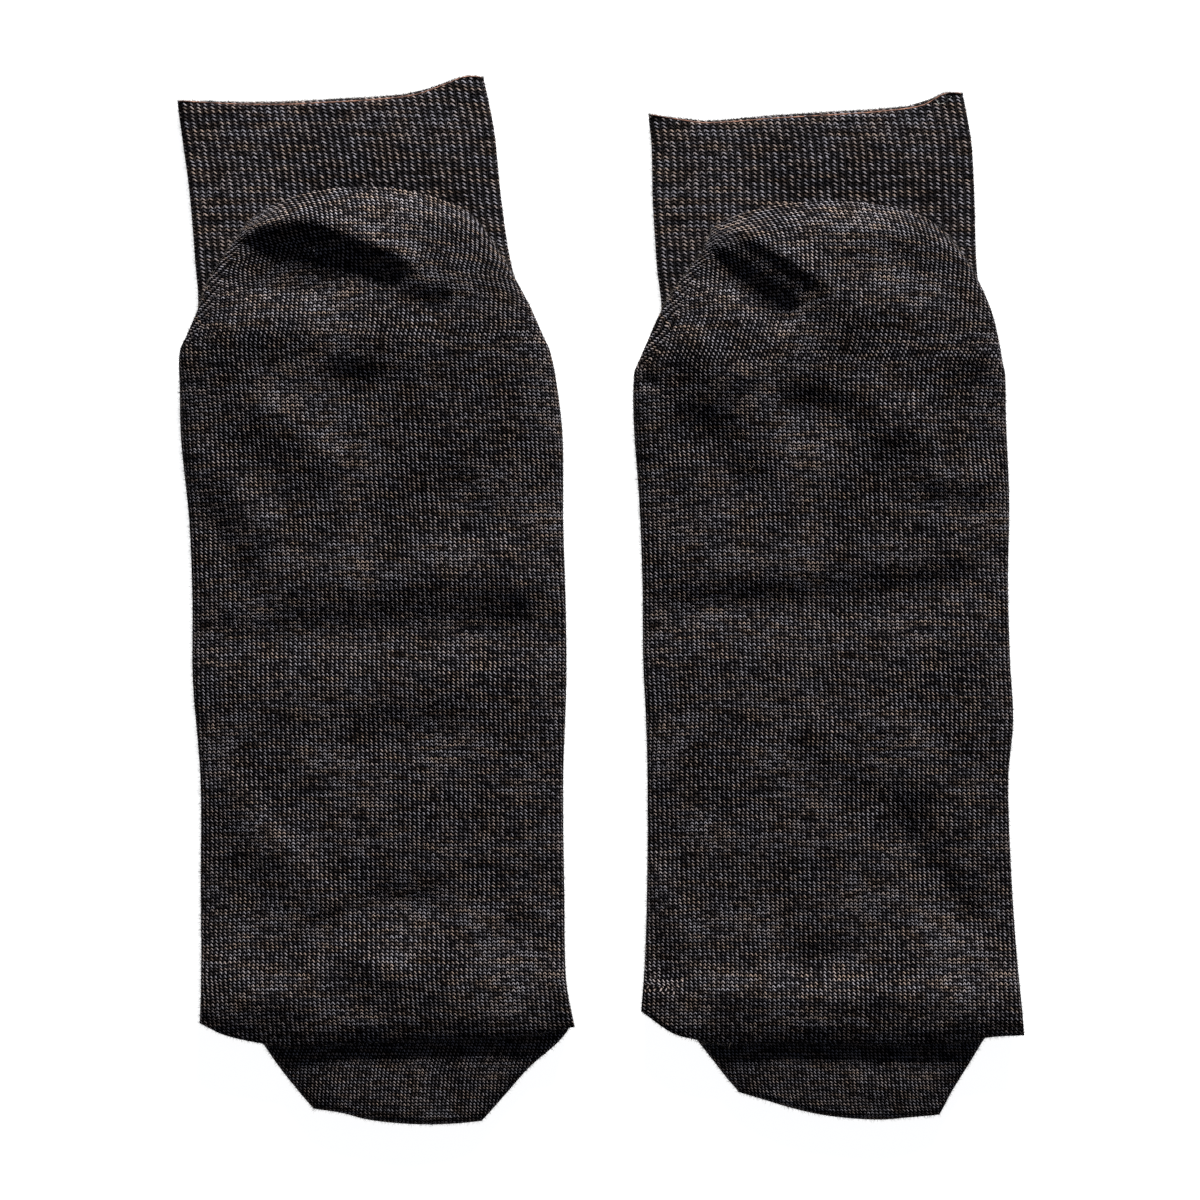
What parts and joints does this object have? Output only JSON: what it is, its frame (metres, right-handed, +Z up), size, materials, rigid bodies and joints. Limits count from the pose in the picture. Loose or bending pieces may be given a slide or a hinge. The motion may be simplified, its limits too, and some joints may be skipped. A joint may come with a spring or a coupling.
{
  "type": "pair of wool socks",
  "caption": "Fine charcoal wool socks lying flat with the soles up, ribbed legs open at the cuffs, heel pockets folded over the legs and toes tucked under.",
  "frame": {"origin": "centre of the pair's bounding box, on the surface that both socks lie on", "axes": "+Z up from that surface, +Y from the toes towards the cuffs, +X from the left sock to the right one, seen from above"},
  "size_m": [0.2118, 0.2626, 0.0119],
  "materials": {
    "ribbed_wool": "ribbed knit of charcoal brown heather wool, matt with a light fuzz",
    "plain_wool": "plain knit of charcoal brown heather wool, matt with a light fuzz"
  },
  "bodies": {
    "root": {"left_leg": "ribbed_wool", "left_heel": "plain_wool", "left_foot": "plain_wool", "left_toe": "plain_wool", "right_leg": "ribbed_wool", "right_heel": "plain_wool", "right_foot": "plain_wool", "right_toe": "plain_wool"}
  },
  "joints": []
}
